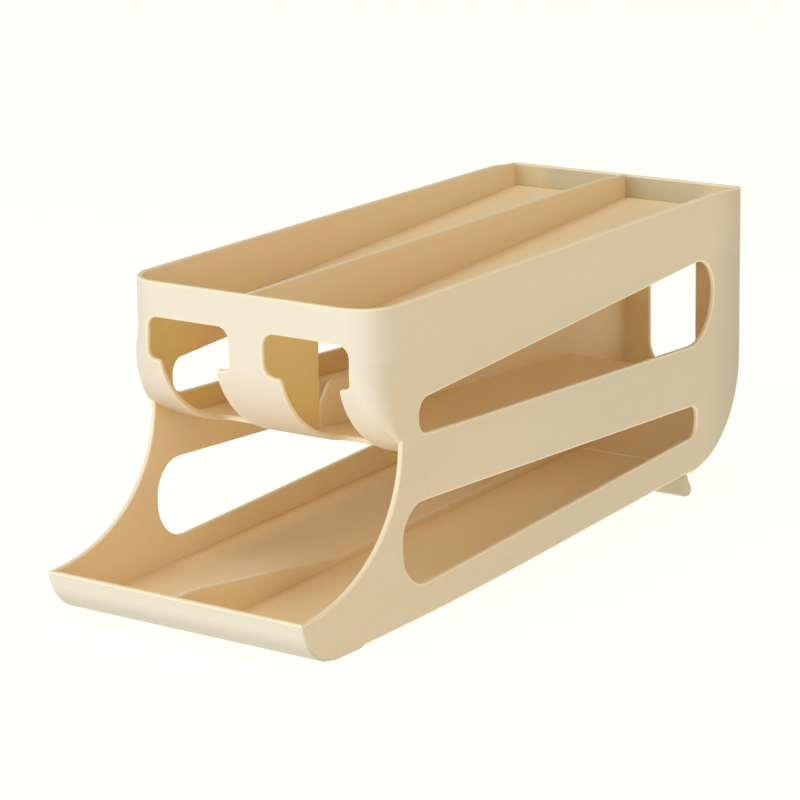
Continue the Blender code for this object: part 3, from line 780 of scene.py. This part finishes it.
# painted shade: a darker copy of the golden inside colour for the rear wall's inner face, with more painted shade
# on its upper middle
REAR_INNER_PAINTED_SHADE = plastic("cream_plastic_rear_inside_painted_shade", (0.88, 0.69, 0.41, 1.0), (0.86, 0.655, 0.365, 1.0),
                  painted_zones=[REAR_UPPER_PAINTED_SHADE])
# painted highlight: a lighter copy of the cream plastic, slightly glossier, on all edge strips, standing in for
# bright edge highlights
RIM_PAINTED_HIGHLIGHT = plastic("cream_plastic_rim_painted_highlight", (0.95, 0.80, 0.56, 1.0), (0.93, 0.765, 0.51, 1.0), rough=(0.36, 0.46))
# painted light and shade: a paler, less golden copy of the cream plastic for the tray's front-facing lip,
# standing in for the front light, with painted shade underneath
LIP_PAINTED_LIGHT_SHADE = plastic("cream_plastic_lip_painted_light_shade", (0.785, 0.675, 0.54, 1.0), (0.765, 0.643, 0.495, 1.0),
              painted_zones=[UNDER_PAINTED_SHADE])
# painted shade: a darker copy of the cream plastic for the kickstand, which sits in shade under the rack
STAND_PAINTED_SHADE = plastic("cream_plastic_stand_painted_shade", (0.61, 0.52, 0.36, 1.0), (0.58, 0.49, 0.33, 1.0))
STEEL = steel("pin_steel")
MATS = [CREAM, WARM_PAINTED_BOUNCE]


# ------------------------------------------------------------------ front wall
def window_outline():
    w0, w1 = WINDOW_X
    s0, s1 = FRONT_SLOT_X
    z_end = float(FRONT.at(np.array(30.0), np.array(FRONT.s_of_y(FRONT_SLOT_END_Y)))[2])
    shape = [((w0, WINDOW_TOP), 5.5), ((w1, WINDOW_TOP), 5.5),
             ((w1, WINDOW_BOTTOM), 3.6), ((s1, WINDOW_BOTTOM), 1.8),
             ((s1, z_end), 0.0), ((s0, z_end), 0.0),
             ((s0, WINDOW_BOTTOM), 1.8), ((w0, WINDOW_BOTTOM), 5.0)]
    top = densify(fillet(shape), 2.0)
    s_end = FRONT.s_of_y(FRONT_SLOT_END_Y)
    out = []
    for x, z in top:
        if z < WINDOW_BOTTOM - 1.9:
            continue
        s = FRONT.s_of_z(z, x)
        u = FRONT.u_of(x, s)
        s = FRONT.s_of_z(z, u)
        out.append((FRONT.u_of(x, s), s))
    # the slot below, straight down to its rounded end
    i = max(range(len(out)), key=lambda k: out[k][1] + (0.001 * out[k][0]))
    split = [k for k in range(len(out)) if out[k][1] > out[i][1] - 0.6 and out[k][0] > 30]
    a = max(split)
    s_a = max(out[a][1], out[(a + 1) % len(out)][1])
    slot = fillet([((s1, s_a), 0.0), ((s1, s_end), 3.5), ((s0, s_end), 3.5), ((s0, s_a), 0.0)],
                  closed=False)
    slot = densify(slot, 2.0, closed=False)
    return out[:a + 1] + slot[1:-1] + out[a + 1:]


s_rows = rows_between(0.0, FRONT.split, 1.6)
s_rest = rows_between(FRONT.split, FRONT.end, 1.8)
u_in = FRONT.u_of(INNER, FRONT.split)
outer = Loop()
outer.add(wrap_rim(FRONT, 0.0), 'f')
outer.kinds[-1] = 'b'
outer.add(path_down(FRONT, s_rows[1:]), 'b')
outer.add([(u_in, s) for s in s_rest], 'b')
bottom = line((u_in, FRONT.end), (-u_in, FRONT.end), 6.0)
outer.add(bottom[1:], 'b')
outer.add([(-u_in, s) for s in s_rest[::-1]], 'b')
outer.add(path_down(FRONT, s_rows[::-1], sign=-1), 'b')
win = window_outline()
grid = wrap_grid(FRONT, rows_between(1.0, FRONT.end - 1.0, 1.7), 5.0)
grid = [(u, s) for u, s in grid if s < FRONT.split or abs(u) < INNER - 0.5]
front = Shell("front_wall_shell")
front.sheet(FRONT, [outer, free_loop(win), free_loop([(-u, s) for u, s in win])], grid, mats=(0, 1, 2))
front.done("rack", ["front_wall"], [FRONT_PAINTED_LIGHT, WARM_PAINTED_BOUNCE, RIM_PAINTED_HIGHLIGHT])

# ------------------------------------------------------------------ rear wall
outer = Loop()
outer.add(wrap_rim(REAR, 0.0), 'f')
outer.kinds[-1] = 'b'
rear_s = rows_between(0.0, REAR.end, 2.5)
outer.add(path_down(REAR, rear_s[1:]), 'b')
outer.kinds[-1] = 'f'
outer.add(wrap_rim(REAR, REAR.end)[::-1][1:], 'f')
outer.kinds[-1] = 'b'
outer.add(path_down(REAR, rear_s[::-1][1:], sign=-1), 'b')
holes = []
h = REAR_SLOT_W / 2.0
for side in (1, -1):
    shape = [((REAR_SLOT_X - h, REAR_SLOT_TOP), h - 0.05), ((REAR_SLOT_X + h, REAR_SLOT_TOP), h - 0.05),
             ((REAR_SLOT_X + h, REAR_SLOT_BOTTOM), h - 0.05),
             ((REAR_SLOT_X - h, REAR_SLOT_BOTTOM), h - 0.05)]
    ring = densify(fillet(shape), 2.5)
    holes.append(free_loop([(side * x, REAR.s_of_z(z, x)) for x, z in ring]))
rear = Shell("rear_wall_shell")
rear.sheet(REAR, [outer] + holes, wrap_grid(REAR, rows_between(1.2, REAR.end - 1.2, 2.6), 6.0),
           mats=(0, 1, 2))
rear.done("rack", ["rear_wall"], [CREAM, REAR_INNER_PAINTED_SHADE, RIM_PAINTED_HIGHLIGHT])


# ------------------------------------------------------------------ side walls
def edge_point(t):
    c, s = max(0.0, math.cos(math.radians(t))), max(0.0, math.sin(math.radians(t)))
    return (EDGE_C[0] + EDGE_A * c ** (2.0 / EDGE_N), EDGE_C[1] - EDGE_B * s ** (2.0 / EDGE_N))


def side_outline():
    """Outline of a side wall in (y, z), down the front first."""
    lp = Loop()
    front_line = []
    for s in s_rows:
        y, z, n, r, _ = FRONT.row(s)
        front_line.append((y + n[0] * r, z + n[1] * r))
    lp.add(front_line, 'b')
    y, z, n, r, _ = FRONT.row(FRONT.split)
    start = (float(y), float(z))
    curve = []
    for k in range(0, 361):
        p = edge_point(90.0 * k / 360.0)
        if p[1] < start[1] - 0.5:
            curve.append(p)
    top = TRAY.row(0.0)
    lip_corner = (float(top[0] + top[2][0] * top[3]), LIP_TOP)
    curve = [p for p in curve if p[0] > lip_corner[0] + 0.3]
    thin = [curve[0]]
    for p in curve[1:]:
        if math.dist(p, thin[-1]) > 1.6:
            thin.append(p)
    lp.add([start] + thin, 'f')
    lp.add([lip_corner], 'b')
    lip = []
    for s in rows_between(0.0, TRAY.split, 1.2)[1:]:
        y, z, n, r, _ = TRAY.row(s)
        lip.append((y + n[0] * r, z + n[1] * r))
    lp.add(lip, 'b')
    y, z, n, r, _ = TRAY.row(TRAY.split)
    lp.add([(float(y), float(z))], 'f')
    low = [((FOOT_Y[1] + 0.1, FOOT_Z), 0.0), ((FOOT_Y[1] + 1.4, -136.85), 1.0)]
    under = [(5.0, -137.2), (20.0, -137.4), (40.0, -137.65), (62.0, -137.6), (105.0, -137.2),
             (140.0, -136.5), (180.0, -135.6), (220.0, -134.8), (250.0, -134.2), (262.0, -134.1),
             (271.3, -134.1)]
    end = tuple(float(c) for c in REAR.p[-1])
    pts = fillet(low + [(p, 0.0) for p in under] + [(end, 0.0)], closed=False)
    pts = densify(pts, 6.0, closed=False)
    lp.add(pts, 'f')
    lp.kinds[-1] = 'b'
    back = []
    for s in rear_s[::-1]:
        y, z, n, r, _ = REAR.row(s)
        back.append((float(y + n[0] * r), float(z + n[1] * r)))
    lp.add(back, 'b')
    rim = [back[-1], (309.0, REAR_RIM * 0.72), (303.0, REAR_RIM * 0.28), (296.0, 0.0)]
    lp.add(densify(rim, 3.0, closed=False), 'f')
    lp.add(line((296.0, 0.0), front_line[0], 8.0), 'f')
    return lp


def copy_loop(lp):
    q = Loop()
    q.pts, q.kinds = list(lp.pts), list(lp.kinds)
    return q


side_loop = side_outline()
slots = [densify(fillet(UPPER_SLOT, 5.0), 6.0), densify(fillet(LOWER_SLOT, 5.0), 6.0)]
gy, gz = np.meshgrid(np.arange(-50, 318, 9.0), np.arange(-132, 0, 9.0))
plate_grid = np.stack([gy.ravel(), gz.ravel()], -1)
for side, tag in ((1, "right"), (-1, "left")):
    plane = Flat((side * HALF, 0, 0), (0, 1, 0), (0, 0, 1), (side, 0, 0), WALL)
    wall = Shell(tag + "_side_wall_shell")
    wall.sheet(plane, [copy_loop(side_loop)] + [free_loop(p) for p in slots], plate_grid, keep=2.5,
               mats=(0, 1, 2))
    for y0, y1, ramp in ((62.0, 303.0, TOP_RAMP), (60.0, 255.0, MID_RAMP)):
        k = (ramp[1][1] - ramp[0][1]) / (ramp[1][0] - ramp[0][0])
        z0 = ramp[0][1] + k * (y0 - ramp[0][0]) - RAMP_T
        z1 = z0 + k * (y1 - y0)
        rail = fillet([((y0, z0 + 0.2), 0.0), ((y1, z1 + 0.2), 0.0), ((y1, z1 - 1.9), 0.7),
                       ((y0, z0 - 1.9), 0.7)])
        rail_plane = Flat((side * (INNER - 1.8), 0, 0), (0, 1, 0), (0, 0, 1), (-side, 0, 0), 2.4)
        wall.sheet(rail_plane, [free_loop(densify(rail, 8.0))], [], er=0.35, turns=3, mats=(1, 1, 1))
    wall.done("rack", [tag + "_side_wall"], [SIDE_PAINTED_SHADE, DROP_GAP_PAINTED_BOUNCE, RIM_PAINTED_HIGHLIGHT])


# ------------------------------------------------------------------ ramps
def sloped(name, node, ends, nose, tail, corner=0.0):
    (y0, z0), (y1, z1) = ends
    d = np.array((0.0, y1 - y0, z1 - z0))
    length = float(np.linalg.norm(d))
    d /= length
    plane = Flat((0, y0, z0), (1, 0, 0), d, np.cross((1.0, 0, 0), d), RAMP_T)
    lp = Loop()
    lp.add(line((-INNER, 0), (INNER, 0), 8.0), nose)
    lp.add(line((INNER, 0), (INNER, length - corner), 8.0), 'b')
    if corner:
        arc = [(INNER - corner + corner * math.cos(a), length - corner + corner * math.sin(a))
               for a in np.linspace(0, math.pi / 2, 9)]
        lp.add(arc, 'b')
        lp.add([(-x, s) for x, s in arc[::-1]], 'b')
    else:
        lp.add(line((INNER, length), (-INNER, length), 8.0), tail)
    lp.add(line((-INNER, length - corner), (-INNER, 0), 8.0), 'b')
    gu, gs = np.meshgrid(np.arange(-56, 57, 8.0), np.arange(4, length, 8.0))
    sh = Shell(name)
    sh.sheet(plane, [lp], np.stack([gu.ravel(), gs.ravel()], -1), er=1.0, keep=2.0, mats=(1, 1, 1))
    return sh.done("rack", [node], MATS)


sloped("top_ramp_sheet", "top_ramp", TOP_RAMP, 'f', 'b', corner=REAR_CORNER - WALL)
sloped("middle_ramp_sheet", "middle_ramp", ((FRONT_END_Y, -69.13), MID_RAMP[1]), 'b', 'f')

# ------------------------------------------------------------------ bottom tray
t_rows = rows_between(0.0, TRAY.split, 1.3)
t_rest = rows_between(TRAY.split, TRAY.end, 6.0)
u_in = TRAY.u_of(INNER, TRAY.split)
outer = Loop()
outer.add(wrap_rim(TRAY, 0.0), 'f')
outer.kinds[-1] = 'b'
outer.add(path_down(TRAY, t_rows[1:]), 'b')
outer.add([(u_in, s) for s in t_rest], 'b')
outer.kinds[-1] = 'f'
outer.add(line((u_in, TRAY.end), (-u_in, TRAY.end), 8.0)[1:], 'f')
outer.kinds[-1] = 'f'
outer.add([(-u_in, s) for s in t_rest[::-1]], 'b')
outer.add(path_down(TRAY, t_rows[::-1], sign=-1), 'b')
grid = wrap_grid(TRAY, rows_between(0.9, TRAY.split, 1.2), 6.0, [math.pi / 2 * k / 8 for k in range(9)])
grid += [(x, s) for s in rows_between(TRAY.split + 1.0, TRAY.split + 12.0, 1.2)
         for x in np.arange(-60, 61, 6.0)]
grid += [(x, s) for s in rows_between(TRAY.split + 18.0, TRAY.end, 8.0) for x in np.arange(-56, 57, 8.0)]
tray = Shell("bottom_tray_shell")
tray.sheet(TRAY, [outer], grid, mats=(0, 1, 2))
ay, az = STAND_AXIS
for side in (1, -1):
    lug = fillet([((ay - 2.3, -131.5), 0.0), ((ay - 2.3, az - 2.3), 2.25),
                  ((ay + 2.3, az - 2.3), 2.25), ((ay + 2.3, az + 0.8), 0.6),
                  ((ay + 0.6, az + 1.4), 0.6), ((ay + 0.6, -131.5), 0.0)], 12.0)
    lug_plane = Flat((side * 38.0 + 2.5, 0, 0), (0, 1, 0), (0, 0, 1), (1, 0, 0), 5.0)
    tray.sheet(lug_plane, [free_loop(densify(lug, 2.0)), free_loop(circle(ay, az, 1.2))], [],
               er=[0.4, 0.15], turns=3)
tray.done("rack", ["bottom_tray"], [LIP_PAINTED_LIGHT_SHADE, WARM_PAINTED_BOUNCE, RIM_PAINTED_HIGHLIGHT])


# ------------------------------------------------------------------ dividers
def floor_of(ramp, y):
    return ramp[0][1] + (ramp[1][1] - ramp[0][1]) / (ramp[1][0] - ramp[0][0]) * (y - ramp[0][0])


def blade(name, node, parts, er=0.85, face=WARM_PAINTED_BOUNCE):
    """Upright sheet down the middle; parts are (points, kind) runs."""
    lp = Loop()
    for pts, kind in parts:
        lp.add(pts, kind)
    plane = Flat((1.0, 0, 0), (0, 1, 0), (0, 0, 1), (1, 0, 0), 2.0)
    sh = Shell(name)
    sh.sheet(plane, [lp], [], er=er, turns=5, mats=(1, 1, 2))
    return sh.done("rack", [node], [CREAM, face, RIM_PAINTED_HIGHLIGHT])


IN = 0.25                     # how far a blade runs into what it stands on
down = []
for s in rows_between(0.0, FRONT.end, 2.5):
    y, z, n, _, _ = FRONT.row(s)
    down.append((float(y + n[0] * (WALL - IN)), float(z + n[1] * (WALL - IN))))
down[-1] = (down[-1][0], max(down[-1][1], floor_of(MID_RAMP, 50.3) - IN))
yb = LENGTH - WALL + IN
leg = [(51.7, down[-1][1]), (51.7, -31.0), (53.4, -27.6), (55.0, floor_of(TOP_RAMP, 55.0) - IN)]
blade("top_divider_blade", "top_divider",
      [(down, 'b'), (leg, 'f'), ([(55.0, floor_of(TOP_RAMP, 55.0) - IN), (yb, floor_of(TOP_RAMP, yb) - IN)], 'b'),
       (densify([(yb, REAR_RIM), (309.0, REAR_RIM * 0.72), (303.0, REAR_RIM * 0.28), (296.0, 0.0)],
                3.0, closed=False) + line((296.0, 0.0), down[0], 8.0), 'f')], face=DROP_GAP_PAINTED_BOUNCE)

ye, yr = MID_RAMP[1][0], LENGTH - WALL + IN
back = []
for s in rows_between(0.0, REAR.end, 2.5):
    y, z, n, r, t = REAR.row(s)
    back.append((float(y + n[0] * (t - IN)), float(z + n[1] * (t - IN))))
top_z = floor_of(MID_RAMP, ye) + 20.0
low_z = floor_of(LOW_RAMP, LOW_RAMP[1][0]) - IN
back = [p for p in back if p[1] < top_z - 0.5 and p[1] > low_z and p[0] > 272.5]
y_top = float(np.interp(-top_z, -REAR.p[:, 1], REAR.p[:, 0])) - WALL + IN
crest = fillet([((53.6, floor_of(MID_RAMP, 53.6) - IN), 0.0), ((53.6, floor_of(MID_RAMP, 53.6) + 12.0), 2.0),
                ((60.0, floor_of(MID_RAMP, 60.0) + 20.0), 6.0), ((y_top, top_z), 0.0)], closed=False)
crest = densify(crest, 8.0, closed=False)
blade("middle_divider_blade", "middle_divider",
      [(crest[:-1], 'f'), ([crest[-1]], 'b'), (back, 'b'), ([(271.9, low_z), (ye + 0.3, low_z)], 'b'),
       ([(ye + 0.3, floor_of(MID_RAMP, ye) - IN)], 'b')])

rl = LIP_R - WALL + IN
lip_in = [(LIP_C[0] + rl * math.cos(math.radians(a)), LIP_C[1] + rl * math.sin(math.radians(a)))
          for a in np.linspace(186.0, 266.0, 24)]
y_lip = LIP_C[0] - LIP_R + WALL - IN
ridge = fillet([((ye - 0.3, floor_of(LOW_RAMP, ye) + 3.0), 0.0), ((66.0, floor_of(LOW_RAMP, 66.0) + 3.0), 30.0),
                ((40.0, -127.3), 25.0), ((14.0, -122.9), 60.0), ((-10.5, -119.8), 60.0),
                ((-33.0, -116.5), 40.0), ((-43.0, -115.5), 20.0), ((y_lip + 0.15, LIP_TOP), 0.0)], 3.0,
               closed=False)
ridge = densify(ridge, 6.0, closed=False)
blade("tray_divider_blade", "tray_divider",
      [([(y_lip, LIP_TOP - 0.6)] + lip_in, 'b'),
       ([(-28.0, floor_of(LOW_RAMP, -28.0) - IN), (ye - 0.3, floor_of(LOW_RAMP, ye) - IN)], 'b'),
       (ridge[:-1], 'f'), ([ridge[-1]], 'b')])

# ------------------------------------------------------------------ kickstand
stand = Shell("kickstand_bar")
toe = [(271.4, foot_plane(271.4)), (268.2, foot_plane(268.2))]


def stand_profile(top, cut=0.0):
    """Section of the stand in (y, z), its upper part given by top."""
    back = [((273.0, -140.7), 1.2), ((274.15 - cut, -143.4), 1.6), ((273.3 - cut, -145.4), 1.0)]
    return densify(fillet(top + back + [(toe[0], 0.8), (toe[1], 1.6), ((266.1 + cut, -144.7), 1.6)],
                          10.0), 1.2)


plane = Flat((61.0, 0, 0), (0, 1, 0), (0, 0, 1), (1, 0, 0), 122.0)
stand.sheet(plane, [free_loop(stand_profile([((266.14, -140.05), 0.3), ((272.1, -140.05), 0.5)], 0.04))],
            [], er=0.3, turns=3)
barrel = [((ay + 2.1 * math.cos(w), az + 2.1 * math.sin(w)), 0.0) for w in np.linspace(math.pi, 0, 19)]
for side in (1, -1):
    for a, b in ((28.0, 34.9), (41.1, 63.8)):
        kp = Flat((max(side * a, side * b), 0, 0), (0, 1, 0), (0, 0, 1), (1, 0, 0), b - a)
        loops = [free_loop(stand_profile(barrel + [((ay + 2.5, az - 1.2), 1.5)]))]
        ers = [0.45]
        if a < 41.0:
            loops.append(free_loop(circle(ay, az, 1.2)))
            ers.append(0.12)
        stand.sheet(kp, loops, [], er=ers, turns=3)
stand.done("stand", ["kickstand"], [STAND_PAINTED_SHADE])

for side, tag in ((1, "right"), (-1, "left")):
    pin = Shell("kickstand_pin_wire_" + tag)
    pp = Flat((max(side * 29.5, side * 46.5), 0, 0), (0, 1, 0), (0, 0, 1), (1, 0, 0), 17.0)
    pin.sheet(pp, [free_loop(circle(ay, az, 1.15, 36))], [], er=0.3, turns=4)
    pin.done("rack", ["kickstand_pin_" + tag], [STEEL])

# ------------------------------------------------------------------ studio
me = bpy.data.meshes.new("floor")
# flat paper that sweeps up into a low wall far away all round
R_F, R_B, H_F, TURNS = 7.5, 1.2, 2.0, 96
section = [(R_F, 0.0)] + [(R_F + R_B * math.sin(w), R_B * (1 - math.cos(w)))
                          for w in np.linspace(0.1, math.pi / 2, 12)] + [(R_F + R_B, H_F)]
ring = [(r_ * math.cos(2 * math.pi * k / TURNS), r_ * math.sin(2 * math.pi * k / TURNS), z_)
        for r_, z_ in section for k in range(TURNS)]
faces = [list(range(TURNS))]
for i in range(len(section) - 1):
    for k in range(TURNS):
        a0, a1 = i * TURNS + k, i * TURNS + (k + 1) % TURNS
        faces.append([a0, a0 + TURNS, a1 + TURNS, a1])
me.from_pydata(ring, [], faces)
me.polygons.foreach_set("use_smooth", np.array([False] + [True] * (len(faces) - 1)))
floor = bpy.data.objects.new("floor", me)
bpy.context.scene.collection.objects.link(floor)
fm = bpy.data.materials.new("floor_paper")
fm.use_nodes = True
fb = fm.node_tree.nodes["Principled BSDF"]
fb.inputs["Base Color"].default_value = (0.20, 0.20, 0.19, 1.0)
fb.inputs["Roughness"].default_value = 0.9
fb.inputs["Specular IOR Level"].default_value = 0.1
fb.inputs["Emission Color"].default_value = (1.0, 1.0, 0.93, 1.0)
fb.inputs["Emission Strength"].default_value = 0.90
me.materials.append(fm)

world = bpy.data.worlds.new("studio")
bpy.context.scene.world = world
world.use_nodes = True
world.node_tree.nodes["Background"].inputs["Color"].default_value = (1.0, 0.955, 0.88, 1.0)
world.node_tree.nodes["Background"].inputs["Strength"].default_value = 0.31


def area(name, place, aim, size, power, colour):
    ld = bpy.data.lights.new(name, 'AREA')
    ld.shape = 'RECTANGLE'
    ld.size, ld.size_y = size
    ld.energy = power
    ld.color = colour
    lo = bpy.data.objects.new(name, ld)
    bpy.context.scene.collection.objects.link(lo)
    lo.location = place
    lo.rotation_euler = (Vector(aim) - Vector(place)).to_track_quat('-Z', 'Y').to_euler()
    return lo


area("key", (-0.50, -2.10, 0.5), (0, 0, 0.08), (0.9, 0.7), 19.0, (0.60, 0.80, 1.0))
area("fill", (2.0, -0.85, 1.0), (0, -0.02, 0.05), (0.8, 0.8), 4.6, (1.0, 0.97, 0.92))
area("top", (-0.3, -0.3, 2.2), (0, 0, 0.08), (1.6, 1.6), 18.0, (1.0, 0.99, 0.96))

a, e, roll = map(math.radians, (33.635, 15.040, -0.552))
d = Vector((-math.sin(a) * math.cos(e), math.cos(a) * math.cos(e), -math.sin(e)))
r = Vector((math.cos(a), math.sin(a), 0))
u = r.cross(d)
r2 = math.cos(roll) * r + math.sin(roll) * u
u2 = -math.sin(roll) * r + math.cos(roll) * u
eye = Vector((702.3, -940.5, 269.5)) / 1000
turn = Matrix((r2, u2, -d)).transposed()
cam = bpy.data.cameras.new("camera")
cam.lens, cam.sensor_width = 2934.84 * 36 / 800, 36
cam_ob = bpy.data.objects.new("camera", cam)
bpy.context.scene.collection.objects.link(cam_ob)
cam_ob.matrix_world = BODY @ (Matrix.Translation(eye) @ turn.to_4x4())
bpy.context.scene.camera = cam_ob
bpy.context.scene.view_settings.view_transform = 'Standard'
